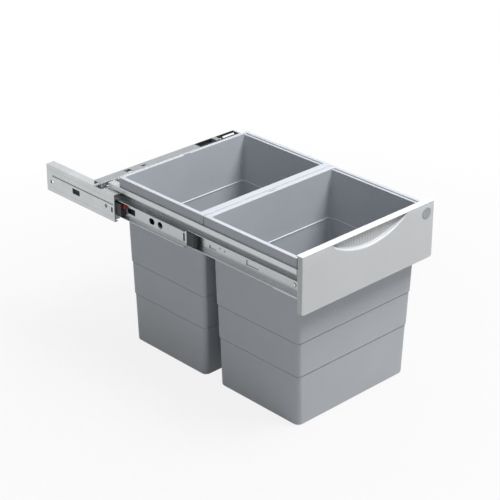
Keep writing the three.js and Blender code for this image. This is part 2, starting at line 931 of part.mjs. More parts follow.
// Soft-close unit: a tray with a damper cylinder, whose rod carries the catch along the tray.
const trayFront = barFront + barGauge + seatGap;
const trayRear = barFront + barDepth - barGauge - seatGap;
const trayFloor = barBottom + trayGauge;
const guideWall = trayStart + guideWallInset;
const rodHeight = trayFloor + seatGap + cylinderDiameter / 2;
const rodCentre = [barMiddle, rodHeight];
const cylinderEnd = trayStart + trayLength - trayGauge - cylinderEndRoom;
const cylinderStart = cylinderEnd - cylinderLength;
const catchStart = trayStart + catchInset;

function tray() {
  const end = trayStart + trayLength;
  const top = barTop + trayProud;
  const hollow = (from, to) =>
    block(from, to, trayFront + trayGauge, trayRear - trayGauge, trayFloor, top + 1);
  return carve(block(trayStart, end, trayFront, trayRear, barBottom, top), [
    hollow(trayStart + trayGauge, guideWall),
    hollow(guideWall + trayGauge, end - trayGauge),
    round("x", dampingRodDiameter + 2 * seatGap, guideWall - 1, guideWall + trayGauge + 1, rodCentre),
  ]);
}

function softClose() {
  const group = new THREE.Group();
  group.add(piece("damper_tray", tray(), "darkPlastic"));
  const bore = dampingRodDiameter + 2 * seatGap;
  const cylinder = carve(round("x", cylinderDiameter, cylinderStart, cylinderEnd, rodCentre), [
    round("x", bore, cylinderStart - 1, cylinderEnd - 2, rodCentre),
  ]);
  group.add(piece("damper_cylinder", cylinder, "slide"));
  const catchEnd = catchStart + catchLength;
  const rodEnd = cylinderStart + rodInsertion;
  const rod = round("x", dampingRodDiameter, catchEnd + seatGap, rodEnd, rodCentre);
  group.add(piece("damper_rod", rod, "rod"));
  const sideRoom = trayGauge + catchSideGap;
  const slider = block(
    catchStart,
    catchEnd,
    trayFront + sideRoom,
    trayRear - sideRoom,
    trayFloor + seatGap,
    barTop + catchProud,
  );
  group.add(piece("catch_slider", slider, "catch"));
  return group;
}

// The frame with everything that is fastened to it.
function drawer() {
  const group = new THREE.Group();
  group.add(piece("front_panel", panelGeometry(), "panel"));
  group.add(cap());
  group.add(piece("frame_front_rail", frontRail(), "frame"));
  group.add(piece("frame_middle_rail", middleCrossRail(), "frame"));
  group.add(piece("frame_rear_rail", rearRail(), "frame"));
  group.add(piece("rear_bar", rearBar(), "bar"));
  for (const [name, side] of [
    ["left", -1],
    ["right", 1],
  ]) {
    group.add(piece("frame_side_rail_" + name, frameSideRail(side), "frame"));
    const rail = piece("drawer_rail_" + name, drawerRail(side), "slide");
    rail.position.y = frameFront;
    group.add(rail);
    group.add(piece("panel_bracket_" + name, panelBracket(side), "frame"));
    group.add(piece("bar_bracket_" + name, barBracket(side), "frame"));
    const fix = (what, ...pin) => group.add(piece(what + name, headedPin(...pin), "screw"));
    const railPin = (along) => [
      "x",
      screwDiameter,
      screwHead,
      screwHeadHeight,
      side * (drawerWebOuter + seatGap),
      side * frameWebInner,
      [along, slideCentre],
    ];
    fix("rail_screw_front_", ...railPin(frameFront + railScrewInset));
    fix("rail_screw_rear_", ...railPin(drawerRailRear - railScrewTailInset));
    const sideRivetSeat = frameWebInner - bracketGauge - 2 * seatGap;
    fix(
      "bracket_rivet_",
      "x",
      rivetDiameter,
      rivetHead,
      rivetHeadHeight,
      side * sideRivetSeat,
      side * frameWebOuter,
      [barRivetAlong, barRivetHeight],
    );
    fix(
      "bar_rivet_",
      "y",
      rivetDiameter,
      rivetHead,
      rivetHeadHeight,
      barFront - bracketGauge - 2 * seatGap,
      barFront + barGauge,
      [side * tabRivetPlace, tabRivetHeight],
    );
    panelScrewPlaces.forEach((place, i) =>
      fix(
        "panel_screw_" + (i + 1) + "_",
        "y",
        screwDiameter,
        screwHead,
        screwHeadHeight,
        frameFront + frameGauge + seatGap,
        -panelScrewDepth,
        [side * place, -panelScrewDrop],
      ),
    );
  }
  group.add(softClose());
  return group;
}

const unit = new THREE.Group();
unit.add(drawer());
const frontBin = piece("front_bin", binGeometry(), "bin");
frontBin.position.y = binSetBack;
const rearBin = piece("rear_bin", binGeometry(), "bin");
rearBin.position.y = secondRimFront;
unit.add(frontBin, rearBin);
unit.add(slide("left", -1, leftDrawnOut));
unit.add(slide("right", 1, rightDrawnOut));

// The unit's own origin lies on the left wall bracket's outer face.
const originAlong = 65; // behind the bracket's front end
const originDrop = 33.5; // below its top edge
unit.position.set(
  wallFace,
  -(cabinetRailSetBack + leftDrawnOut + originAlong),
  originDrop - wallTop,
);

const group = new THREE.Group();
group.add(unit);
export default group;
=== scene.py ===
import json
import math

import bmesh
import bpy
import numpy as np
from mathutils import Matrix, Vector


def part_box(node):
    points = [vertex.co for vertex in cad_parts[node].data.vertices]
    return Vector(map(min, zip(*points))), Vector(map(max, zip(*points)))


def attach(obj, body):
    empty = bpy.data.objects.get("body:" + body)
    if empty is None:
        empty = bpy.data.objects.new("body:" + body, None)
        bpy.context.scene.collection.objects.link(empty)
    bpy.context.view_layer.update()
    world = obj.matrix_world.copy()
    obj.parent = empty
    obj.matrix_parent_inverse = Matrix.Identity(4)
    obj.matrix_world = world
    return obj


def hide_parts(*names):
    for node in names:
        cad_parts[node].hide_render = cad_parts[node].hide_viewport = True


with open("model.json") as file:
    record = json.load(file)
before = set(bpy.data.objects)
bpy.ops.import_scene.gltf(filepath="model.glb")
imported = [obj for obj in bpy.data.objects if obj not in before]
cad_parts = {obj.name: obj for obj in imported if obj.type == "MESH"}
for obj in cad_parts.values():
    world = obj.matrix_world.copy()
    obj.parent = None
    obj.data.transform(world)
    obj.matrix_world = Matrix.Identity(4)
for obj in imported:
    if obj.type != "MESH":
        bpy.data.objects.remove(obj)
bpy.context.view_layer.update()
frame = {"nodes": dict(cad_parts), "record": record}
print("frame loaded:", len(frame["nodes"]), "nodes")

mm = 0.001
samePlace = 1e-6  # corners within this distance, in metres, are one
# Lengths below are in millimetres, counted from the middle of the unit, the back of the
# front panel and the top of the bins' rims; origin is where the frame's own origin lies.
origin = np.array([-181.0, 528.0, -63.0])


def place(points):
    return (np.asarray(points, float) - origin) * mm


def boxOf(node):
    # the low and the high corner of a node's box, in the millimetres used here
    return [np.array(corner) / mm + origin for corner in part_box(node)]


class Wire:
    # One output of a node; an expression on wires adds its Math nodes to the same tree.
    def __init__(self, nodes, socket):
        self.nodes = nodes
        self.socket = socket

    def math(self, operation, *values):
        return self.nodes.add("ShaderNodeMath", dict(enumerate(values)), operation=operation)

    def __add__(self, other):
        return self.math("ADD", self, other)

    def __radd__(self, other):
        return self.math("ADD", other, self)

    def __sub__(self, other):
        return self.math("SUBTRACT", self, other)

    def __mul__(self, other):
        return self.math("MULTIPLY", self, other)

    def __truediv__(self, other):
        return self.math("DIVIDE", self, other)

    def clip(self):
        return self.math("MINIMUM", self.math("MAXIMUM", self, 0.0), 1.0)

    def out(self, key):  # another output of the same node
        return Wire(self.nodes, self.socket.node.outputs[key])


class Nodes:
    # Adds nodes to the tree of a material or of the world.
    def __init__(self, tree):
        self.tree = tree

    def add(self, kind, inputs=None, **settings):
        node = self.tree.nodes.new(kind)
        for key, value in settings.items():
            setattr(node, key, value)
        for key, value in (inputs or {}).items():
            if isinstance(value, Wire):
                self.tree.links.new(value.socket, node.inputs[key])
            else:
                node.inputs[key].default_value = value
        return Wire(self, node.outputs[0])


class Finish(Nodes):
    # A material around one Principled shader, with helpers for the nodes that feed it.
    def __init__(self, name, **constants):
        self.material = bpy.data.materials.new(name)
        self.material.use_nodes = True
        super().__init__(self.material.node_tree)
        self.shader = self.tree.nodes["Principled BSDF"]
        for socket, value in constants.items():
            self.shader.inputs[socket.replace("_", " ")].default_value = value
        self.position = self.add("ShaderNodeTexCoord").out("Object")

    def stretch(self, scale):
        return self.add("ShaderNodeMapping", {"Vector": self.position, "Scale": scale})

    def noise(self, scale, detail, rough, vector=None):
        return self.add("ShaderNodeTexNoise", {
            "Vector": vector or self.position, "Scale": scale, "Detail": detail, "Roughness": rough,
        })

    def mix(self, share, low, high):
        # sockets 6 and 7 of a Mix node are its two colours, and output 2 is the mixed colour
        inputs = {0: share, 6: (*low, 1.0), 7: (*high, 1.0)}
        return self.add("ShaderNodeMix", inputs, data_type="RGBA").out(2)

    def bump(self, height, strength, distance):
        inputs = {"Height": height, "Strength": strength, "Distance": distance}
        self.feed("Normal", self.add("ShaderNodeBump", inputs))

    def feed(self, socket, wire):
        self.tree.links.new(wire.socket, self.shader.inputs[socket])


# What all moulded plastic shares, unless a finish says otherwise. Each noise is a scale, a
# detail and a roughness; the other numbers say how far a noise moves shade, gloss or relief.
plasticLook = {
    "index": 1.46, "specular": 0.5, "roughness": 0.45, "drift": 0.05,
    "cloud": (9.0, 3.0, 0.55), "grain": (1400.0, 2.0, 0.6), "rub": (60.0, 4.0, 0.7),
    "rubStretch": (1.0, 1.0, 0.25), "cloudShade": 2.2, "grainShade": 0.35, "rubGloss": 0.16,
    "grainGloss": 0.08, "cloudRelief": 0.6, "relief": 0.12, "reliefDepth": 0.0002,
}


def mouldedPlastic(name, color, **changes):
    # Moulded plastic: fine spark-eroded grain, slow drift of the shade, faint rub marks.
    look = {**plasticLook, **changes}
    finish = Finish(name, IOR=look["index"], Specular_IOR_Level=look["specular"])
    cloud = finish.noise(*look["cloud"])
    grain = finish.noise(*look["grain"])
    rub = finish.noise(*look["rub"], finish.stretch(look["rubStretch"]))
    darker = tuple(c * (1 - look["drift"]) for c in color)
    lighter = tuple(min(1.0, c * (1 + look["drift"])) for c in color)
    shade = (cloud - 0.5) * look["cloudShade"] + 0.5 + (grain - 0.5) * look["grainShade"]
    finish.feed("Base Color", finish.mix(shade.clip(), darker, lighter))
    gloss = look["roughness"] + (rub - 0.5) * look["rubGloss"] + (grain - 0.5) * look["grainGloss"]
    finish.feed("Roughness", gloss.clip())
    finish.bump(grain + cloud * look["cloudRelief"], look["relief"], look["reliefDepth"])
    return finish.material


# The same for sheet steel; along stretches the rolling streaks, by default along the rails.
steelLook = {
    "index": 1.5, "metallic": 0.92, "roughness": 0.34, "along": (700.0, 9.0, 700.0),
    "streak": (1.0, 3.0, 0.6), "haze": (24.0, 4.0, 0.6), "spangle": 160.0, "spangleMean": 0.4,
    "darkest": 0.86, "lightest": 1.1, "streakShade": 1.3, "hazeShade": 1.1, "spangleShade": 0.15,
    "streakGloss": 0.22, "hazeGloss": 0.2, "relief": 0.08, "reliefDepth": 0.0001,
}


def rolledSteel(name, color, **changes):
    # Zinc plated sheet: rolling streaks, a soft spangle and thin oil haze.
    look = {**steelLook, **changes}
    finish = Finish(name, Metallic=look["metallic"], IOR=look["index"])
    streak = finish.noise(*look["streak"], finish.stretch(look["along"]))
    scaled = {"Vector": finish.position, "Scale": look["spangle"]}
    spangle = finish.add("ShaderNodeTexVoronoi", scaled).out("Distance") - look["spangleMean"]
    haze = finish.noise(*look["haze"])
    darker = tuple(c * look["darkest"] for c in color)
    lighter = tuple(min(1.0, c * look["lightest"]) for c in color)
    shade = (streak - 0.5) * look["streakShade"] + (haze - 0.5) * look["hazeShade"] + 0.5
    shade = shade + spangle * look["spangleShade"]
    finish.feed("Base Color", finish.mix(shade.clip(), darker, lighter))
    gloss = look["roughness"] + (streak - 0.5) * look["streakGloss"] + (haze - 0.5) * look["hazeGloss"]
    finish.feed("Roughness", gloss.clip())
    finish.bump(streak, look["relief"], look["reliefDepth"])
    return finish.material


finishes = {
    "panel_plastic": mouldedPlastic("panel plastic", (0.56, 0.575, 0.59), roughness=0.42, drift=0.02),
    "cap_plastic": mouldedPlastic("cap plastic", (0.33, 0.35, 0.37), roughness=0.4, drift=0.04),
    "bin_plastic": mouldedPlastic("bin plastic", (0.43, 0.455, 0.49), roughness=0.47, drift=0.03),
    "frame_steel": rolledSteel("frame steel", (0.56, 0.58, 0.59), roughness=0.36),
    "bar_steel": rolledSteel(
        "bar steel", (0.36, 0.38, 0.39), roughness=0.42, along=(9.0, 700.0, 700.0)
    ),
    "slide_steel": rolledSteel("slide steel", (0.5, 0.52, 0.53), roughness=0.3),
    "cage_steel": rolledSteel("cage steel", (0.6, 0.61, 0.62), roughness=0.22),
    "dark_plastic": mouldedPlastic(
        "black plastic", (0.018, 0.019, 0.021), roughness=0.4, drift=0.15
    ),
    "tab_plastic": mouldedPlastic("red plastic", (0.5, 0.035, 0.025), roughness=0.35),
    "catch_plastic": mouldedPlastic("grey green plastic", (0.19, 0.23, 0.21), roughness=0.42),
    "rod_plastic": mouldedPlastic("white plastic", (0.74, 0.75, 0.75), roughness=0.35),
    "screw_steel": rolledSteel(
        "screw steel", (0.6, 0.61, 0.62), roughness=0.25, along=(300.0, 300.0, 300.0)
    ),
}
slotOf = {s["node"]: s["material_slot"] for s in frame["record"]["subparts"]}
bodyOf = {n: b for b, ns in frame["record"]["behaviour"]["bodies"].items() for n in ns}
for nodeName, cadNode in frame["nodes"].items():
    cadNode.data.materials.clear()
    cadNode.data.materials.append(finishes[slotOf[nodeName]])
print("finishes made:", len(finishes))


def newObject(name, data):
    made = bpy.data.objects.new(name, data)
    bpy.context.scene.collection.objects.link(made)
    return made


def newPiece(name, points, faces, slot, body):
    mesh = bpy.data.meshes.new(name)
    mesh.from_pydata(points.tolist(), [], faces)
    mesh.validate()
    mesh.shade_smooth()
    mesh.materials.append(finishes[slot])
    piece = newObject(name, mesh)
    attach(piece, body)
    return piece


def tubeFaces(rings, corners, capped=True):
    # Quads between neighbouring rings of corners, each ring closed on itself, and a face over
    # the first and the last ring where the tube is capped.
    ring, corner = np.meshgrid(np.arange(rings - 1), np.arange(corners), indexing="ij")
    here, after = ring * corners + corner, ring * corners + (corner + 1) % corners
    quads = np.stack([here, after, after + corners, here + corners], -1)
    faces = quads.reshape(-1, 4).tolist()
    if capped:
        last = (rings - 1) * corners
        faces += [list(range(corners))[::-1], list(range(last, last + corners))]
    return faces


def quarterRound(count):
    # Places on a quarter circle of radius 1 that rounds a corner, as distances from its two
    # sides: 1 less the cosine, which grows from 0, and 1 less the sine, which falls to 0.
    turn = np.linspace(0, math.pi / 2, count)
    return np.stack([1 - np.cos(turn), 1 - np.sin(turn)], -1)


def mergeLoose(mesh, distance=samePlace):
    work = bmesh.new()
    work.from_mesh(mesh)
    bmesh.ops.remove_doubles(work, verts=work.verts, dist=distance)
    bmesh.ops.dissolve_degenerate(work, edges=work.edges, dist=distance)
    bmesh.ops.recalc_face_normals(work, faces=work.faces)
    work.to_mesh(mesh)
    work.free()
    mesh.shade_smooth()


def evenShading(piece, weight=50):
    even = piece.modifiers.new("even shading", "WEIGHTED_NORMAL")
    even.keep_sharp = True
    even.weight = weight


# Rows of stepRows and ledgeRows: height above the step or ledge, how many more steps the wall
# has moved in there, and its inset. Steps have a shadow groove under them on the outside, and
# ledges jut in under the wall on the inside.
bins = {
    "rimHalf": 163.5, "depth": 231.0, "height": 346.6, "sideRim": 8.0, "rimCorner": 3.0,
    "rimGauge": 2.5, "rimRound": 1.2, "rimFillet": 0.6, "skirt": 17.7, "skirtEdge": 0.4,
    "wall": 2.2, "wallFillet": 1.0, "bodyHalf": 150.9, "bodyTop": -18.0, "topCorner": 5.0,
    "footCorner": 12.0, "leastCorner": 1.0, "sideDraft": 0.027, "step": 1.1,
    "steps": (-243.8, -175.5), "ledges": (-97.5, -215.0), "floor": 2.5, "floorFillet": 4.0,
    "foot": 3.0, "slotHalf": 8.0, "slotWidth": 2.0, "slotRoom": 1.0, "shadingWeight": 60,
    "stepRows": (
        (-2.4, 1, 0.0), (-2.0, 1, 0.15), (-1.8, 1, 1.0), (-0.3, 1, 1.0), (0.0, 0, 0.3), (0.3, 0, 0.0),
    ),
    "ledgeRows": (
        (1.0, 0, 0.0), (0.4, 0, 0.25), (-0.3, 1, 0.7), (-0.9, 1, 0.9), (-1.5, 1, 0.7), (-2.1, 1, 0.0),
    ),
    "walls": {
        "front_bin": {"start": 5.0, "front": 7.0, "frontDraft": 0.016, "rear": 9.5, "rearDraft": 0.002},
        "rear_bin": {"start": 237.5, "front": 13.0, "frontDraft": 0.028, "rear": 4.0, "rearDraft": 0.002},
    },
}


# Rounded rectangles stacked in height: each row has four quarter circles of its corner radius
# about the corner centres, and straight runs between them.
def roundedRows(rows, steps=10):
    half, front, rear, corner, height = (column[:, None] for column in np.array(rows, float).T)
    quarter = np.repeat(np.arange(4), steps + 1)
    turn = (quarter + np.tile(np.linspace(0, 1, steps + 1), 4)) * math.pi / 2
    signX = np.array([1, -1, -1, 1])[quarter]
    atRear = np.array([1, 1, 0, 0])[quarter]
    x = signX * (half - corner) + corner * np.cos(turn)
    y = np.where(atRear, rear - corner, front + corner) + corner * np.sin(turn)
    return np.stack([x, y, np.broadcast_to(height, x.shape)], -1)


# A bin is one tube of rounded rectangles: up its outside from the foot, round the skirt and
# the rim, and down its inside to the floor. Below bodyTop each wall leans in by its draft for
# every millimetre further down, and the corners' radius grows evenly.
def binPiece(name, walls):
    b = bins
    rows = []
    growth = (b["footCorner"] - b["topCorner"]) / (b["height"] + b["bodyTop"])

    def body(z, steps, inset):
        down = max(b["bodyTop"] - z, 0.0)
        moved = steps * b["step"] + inset
        rows.append((
            b["bodyHalf"] - b["sideDraft"] * down - moved,
            walls["front"] + walls["frontDraft"] * down + moved,
            b["depth"] - walls["rear"] - walls["rearDraft"] * down - moved,
            max(b["topCorner"] + growth * down - inset, b["leastCorner"]), z,
        ))

    def rim(inset, z):
        corner = max(b["rimCorner"] - inset, b["leastCorner"])
        rows.append((b["rimHalf"] - inset, inset, b["depth"] - inset, corner, z))

    def mouth(inset, z):
        rows.append((
            b["rimHalf"] - b["sideRim"] + inset, walls["front"] + b["wall"] - inset,
            b["depth"] - walls["rear"] - b["wall"] + inset, b["topCorner"] - b["wall"] + inset, z,
        ))

    low, under, skirt = -b["height"], -b["rimGauge"], -b["skirt"]
    wall, edge = b["wall"], b["skirtEdge"]
    for gone, left in b["foot"] * quarterRound(6):
        body(low + gone, len(b["steps"]), left)
    for passed, step in zip((1, 0), b["steps"]):
        for above, more, inset in b["stepRows"]:
            body(step + above, passed + more, inset)
    body(b["bodyTop"], 0, 0.0)
    body(under - b["wallFillet"], 0, 0.0)
    body(under, 0, -b["wallFillet"])
    rim(wall + b["rimFillet"], under)
    rim(wall, under - b["rimFillet"])
    rim(wall, skirt + edge)
    rim(wall - edge, skirt)
    rim(edge, skirt)
    rim(0.0, skirt + edge)
    for gone, left in b["rimRound"] * quarterRound(5):  # rounded outer edge of the rim
        rim(gone, -left)
    for gone, left in b["rimRound"] * quarterRound(5):  # and of its inner edge
        mouth(left, -gone)
    body(b["bodyTop"], 0, wall)
    for passed, ledge in enumerate(b["ledges"]):
        for above, more, inset in b["ledgeRows"]:
            body(ledge + above, passed + more, wall + inset)
    for gone, left in b["floorFillet"] * quarterRound(5):
        body(low + b["floor"] + left, len(b["ledges"]), wall + gone)
    points = roundedRows(rows)
    points[..., 1] += walls["start"]
    faces = tubeFaces(*points.shape[:2])
    piece = newPiece(name + "_moulding", place(points.reshape(-1, 3)), faces, "bin_plastic", name)
    cutSlot(piece, walls["start"] + b["depth"] - wall - 1.5 * b["slotWidth"], b["slotWidth"] / 2)
    evenShading(piece, b["shadingWeight"])
    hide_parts(name)


# Cuts a slot with round ends through the rim: two half circles about the ends, joined along X.
def cutSlot(piece, along, radius, count=24):
    turn = np.linspace(0, 2 * math.pi, count, endpoint=False)
    side = np.where(np.cos(turn) >= 0, 1, -1)
    x = side * (bins["slotHalf"] - radius) + radius * np.cos(turn)
    ring = np.stack([x, along + radius * np.sin(turn)], -1)
    heights = (-bins["rimGauge"] - bins["slotRoom"], bins["slotRoom"])
    points = np.concatenate([np.c_[ring, np.full(count, z)] for z in heights])
    mesh = bpy.data.meshes.new("slot_cutter")
    mesh.from_pydata(place(points).tolist(), [], tubeFaces(2, count))
    cutter = newObject("slot_cutter", mesh)
    cut = piece.modifiers.new("slot", "BOOLEAN")
    cut.object = cutter
    cut.solver = "EXACT"
    shape = piece.evaluated_get(bpy.context.evaluated_depsgraph_get())
    result = bpy.data.meshes.new_from_object(shape)
    piece.modifiers.clear()
    piece.data = result
    bpy.data.objects.remove(cutter)


for binName, binWalls in bins["walls"].items():
    binPiece(binName, binWalls)
print("bins made")


# The scoop has its full depth where it is scoopFade high or more. Its flutes start where it is
# fluteStart times fluteFade high, and are full one fluteFade above that. Its back wall takes up
# at least wallShare of its height, below the lip's groove.
panel = {
    "half": 166.5, "thickness": 11.0, "top": 8.0, "bottom": -103.0, "corner": 6.0, "edge": 0.9,
    "ledge": 4.0, "ledgeRound": 0.8, "lip": 1.8, "lipGroove": 1.6, "grooveDepth": 1.4,
    "scoopRadius": 168.0, "scoopBottom": -23.8, "scoopBack": -3.2,
    "scoopFade": 3.0, "wallShare": 0.6, "flute": 0.3, "flutePitch": 7.0, "fluteFade": 12.0,
    "fluteStart": 0.4, "floorEdge": 3.2, "floorFillet": 3.0, "pocketTop": -36.0,
    "pocketDepth": 8.0, "pocketStep": 0.01, "rim": 2.5, "weld": 0.02, "shadingWeight": 60,
    "columns": {"even": 200, "bend": 9, "rounded": 5, "cornerRoom": 2.0, "edgeRoom": 0.3},
}


def curvedIn(beyond, radius):
    # how far a rounded corner has curved in, this far beyond its start
    return radius - np.sqrt(np.maximum(radius**2 - np.maximum(beyond, 0.0) ** 2, 0.0))


def panelColumns():
    # Places along the width: even steps, then more of them along the lower corner and the
    # rounded edge, and one on either side of the pocket's end.
    half, corner, edge, columns = (panel[key] for key in ("half", "corner", "edge", "columns"))
    even = np.linspace(0, half - corner - columns["cornerRoom"], columns["even"])
    bend = half - corner + corner * np.sin(np.linspace(0, math.pi / 2, columns["bend"]))
    bend = bend[bend < half - edge - columns["edgeRoom"]]
    rounded = half - edge + edge * np.sin(np.linspace(0, math.pi / 2, columns["rounded"]))
    pocketEnd = half - panel["rim"]
    places = [even, bend, rounded, [pocketEnd - panel["pocketStep"], pocketEnd]]
    right = np.unique(np.round(np.concatenate(places), 4))
    return np.concatenate([-right[::-1], right[1:]])


# The panel is one profile in depth and height, carried along the width. Where the column meets
# the scoop, its floor follows the arc of a circle; outside it the scoop's points fall together.
# The scoop's back wall is fluted by a cosine along the width.
def panelPiece():
    p = panel
    x = panelColumns()
    away, edge, front = np.abs(x), p["edge"], -p["thickness"]
    inset = curvedIn(away - p["half"] + edge, edge)
    bottom = p["bottom"] + curvedIn(away - p["half"] + p["corner"], p["corner"])
    lipBottom = p["top"] - p["lip"]
    circle = p["scoopBottom"] + p["scoopRadius"]
    arc = np.minimum(circle - np.sqrt(np.maximum(p["scoopRadius"] ** 2 - x**2, 0)), lipBottom)
    room = lipBottom - arc
    outer = np.minimum(p["floorEdge"], room / 2)
    fillet = np.minimum(p["floorFillet"], room / 3)
    opened = np.clip(room / p["scoopFade"], 0, 1)
    depth = (p["thickness"] + p["scoopBack"]) * opened
    fluted = np.clip(room / p["fluteFade"] - p["fluteStart"], 0, 1)
    flutes = p["flute"] * np.cos(2 * math.pi * x / p["flutePitch"]) * fluted
    grooveBack = front + depth + p["grooveDepth"] * opened
    wallTop = np.maximum(lipBottom - p["lipGroove"], arc + p["wallShare"] * room)
    profile = []

    def point(y, z):
        profile.append([np.broadcast_to(np.asarray(v, float), x.shape) for v in (y, z)])

    for gone, left in edge * quarterRound(6):  # bottom front edge
        point(front + left, bottom + gone)
    for share in np.linspace(0.1, 0.9, 5):
        point(front, bottom + edge + share * (arc - outer - bottom - edge))
    for gone, left in quarterRound(6):  # rounded edge of the scoop's floor
        point(front + np.minimum(outer, depth) * gone, arc - outer * left)
    for gone, left in quarterRound(6):  # fillet between the floor and the scoop's back wall
        point(front + depth - np.minimum(fillet, depth) * left, arc + fillet * gone)
    for share in (0.25, 0.5, 0.75, 1.0):  # the fluted back wall
        point(front + depth + flutes, arc + fillet + share * (wallTop - arc - fillet))
    point(grooveBack, wallTop)  # shadow groove under the lip
    point(grooveBack, lipBottom)
    nose = p["lip"] / 2
    for turn in np.linspace(-math.pi / 2, math.pi / 2, 9):  # round nose of the lip
        point(front + nose * (1 - math.cos(turn)), lipBottom + nose + nose * math.sin(turn))
    point(0.0, p["top"])
    for gone, left in p["ledgeRound"] * quarterRound(4):  # the ledge behind the panel's top
        point(p["ledge"] - left, p["top"] - gone)
    point(p["ledge"], lipBottom)
    point(0.0, lipBottom)
    pocketEnd = p["half"] - p["rim"] - p["pocketStep"] / 2
    pocket = np.where(away < pocketEnd, p["pocketDepth"], 0.0)
    point(0.0, p["pocketTop"])  # the open pocket at the back
    point(-pocket, p["pocketTop"])
    point(-pocket, bottom + p["rim"])
    point(0.0, bottom + p["rim"])
    for gone, left in edge * quarterRound(6):  # bottom rear edge
        point(-gone, bottom + left)
    y, z = np.stack(profile, -1)
    rear = np.where(y > 0, p["ledge"], 0.0)
    y = np.clip(y, front + inset[:, None], rear - inset[:, None])
    z = np.clip(z, (bottom + inset)[:, None], p["top"] - inset[:, None])
    points = np.stack([np.broadcast_to(x[:, None], y.shape), y, z], -1)
    piece = newPiece(
        "front_panel_moulding", place(points.reshape(-1, 3)), tubeFaces(*y.shape),
        "panel_plastic", "drawer",
    )
    mergeLoose(piece.data, p["weld"] * mm)
    evenShading(piece, p["shadingWeight"])
    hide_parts("front_panel")


panelPiece()
print("front panel made")


# A turned piece: a profile of places along the axis and radii, swept once round the axis.
def turnedPiece(name, profile, axis, centre, slot, body, steps):
    along, radius = (v[:, None] for v in np.array(profile, float).T)
    turn = np.linspace(0, 2 * math.pi, steps, endpoint=False)
    across, up = centre[0] + radius * np.cos(turn), centre[1] + radius * np.sin(turn)
    ring = (along + 0 * turn, across, up) if axis == "x" else (across, along + 0 * turn, up)
    points = place(np.stack(ring, -1).reshape(-1, 3))
    piece = newPiece(name, points, tubeFaces(len(profile), steps, False), slot, body)
    mergeLoose(piece.data)
    evenShading(piece)
    return piece


# What screws and rivets share: the chamfer of the shaft's end, the head's edge, the dome's
# first angle and its rise there, the flat round the socket and the socket's rounded edge.
# socketDeep is the socket's depth as a share of the head's height, socketTaper its radius at
# that depth as a share of socket, and socketTip the depth of its point as a share of its depth.
heads = {
    "steps": 32, "chamfer": 0.3, "edge": 0.1, "firstTurn": 0.15, "rise": 0.15, "flat": 0.5,
    "socketEdge": 0.12, "socketDeep": 0.65, "socketTaper": 0.92, "socketTip": 1.15,
}
screw = {"shaft": 2.0, "head": 4.0, "height": 2.0, "socket": 1.5}
rivet = {"shaft": 2.0, "head": 3.5, "height": 1.0, "socket": 0.8}
# each fastener's kind, its axis, and the way its head points on the left and on the right
fasteners = {
    "rail_screw_front": (screw, "x", (-1, 1)),
    "rail_screw_rear": (screw, "x", (-1, 1)),
    "bracket_rivet": (rivet, "x", (1, -1)),
    "bar_rivet": (rivet, "y", (-1, -1)),
    "panel_screw_1": (screw, "y", (1, 1)),
    "panel_screw_2": (screw, "y", (1, 1)),
}


# Domed head with a round socket: a quarter ellipse from its edge to the flat round the socket.
def fastener(node, kind, axis, way):
    low, high = boxOf(node)
    main = 0 if axis == "x" else 1
    top, end = (high[main], low[main]) if way > 0 else (low[main], high[main])
    seat = top - way * kind["height"]
    head, shaft, socket = kind["head"], kind["shaft"], kind["socket"]
    flat, chamfer, edge = socket + heads["flat"], heads["chamfer"], heads["edge"]
    profile = [(end, 0), (end, shaft - chamfer), (end + way * chamfer, shaft), (seat, shaft)]
    profile += [(seat, head - edge), (seat + way * edge, head)]
    for turn in np.linspace(heads["firstTurn"], math.pi / 2, 7):
        rise = heads["rise"] + (kind["height"] - heads["rise"]) * math.sin(turn)
        profile.append((seat + way * rise, flat + (head - flat) * math.cos(turn)))
    deep, rounded = kind["height"] * heads["socketDeep"], heads["socketEdge"]
    profile += [(top, socket + rounded), (top - way * rounded, socket)]
    profile += [(top - way * deep, socket * heads["socketTaper"])]
    profile += [(top - way * deep * heads["socketTip"], 0)]
    middle = (low + high) / 2
    piece = turnedPiece(
        node + "_turned", profile, axis, (middle[1 - main], middle[2]), slotOf[node], bodyOf[node],
        heads["steps"],
    )
    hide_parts(node)


for fastenerName, (kind, axis, ways) in fasteners.items():
    for sideName, way in zip(("left", "right"), ways):
        fastener(fastenerName + "_" + sideName, kind, axis, way)

cap = {
    "radius": 11.2, "back": -9.8, "front": -11.4, "edge": 0.4, "dish": 0.25, "groove": 9.9,
    "grooveDepth": 0.35, "grooveTop": 0.3, "grooveFoot": 0.1, "steps": 72,
}


# The blank cap: a flat rim with a rounded edge, a fine groove, and a shallow dish inside it.
def capPiece():
    c = cap
    low, high = boxOf("panel_cap")
    middle = (low + high) / 2
    profile = [(c["back"], 0), (c["back"], c["radius"])]
    for gone, left in c["edge"] * quarterRound(6):
        profile.append((c["front"] + left, c["radius"] - gone))
    groove, foot = c["groove"], c["front"] + c["grooveDepth"]
    profile += [(c["front"], groove + c["grooveTop"]), (foot, groove + c["grooveFoot"])]
    profile += [(foot, groove - c["grooveFoot"]), (c["front"], groove - c["grooveTop"])]
    for share in np.linspace(0.9, 0.0, 8):
        dish = c["dish"] * (1 - share**2)
        profile.append((c["front"] + dish, (groove - c["grooveTop"]) * share))
    piece = turnedPiece(
        "panel_cap_turned", profile, "y", (middle[0], middle[2]), "cap_plastic", "drawer", c["steps"]
    )
    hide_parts("panel_cap")


capPiece()

# rings are the places along the rail, from its front end, and the radii of its holes
collars = {
    "face": 166.9, "height": 0.25, "width": 1.1, "sunk": 0.2, "above": 0.5, "steps": 48,
    "rings": ((72.0, 6.6), (95.0, 7.8)),
}


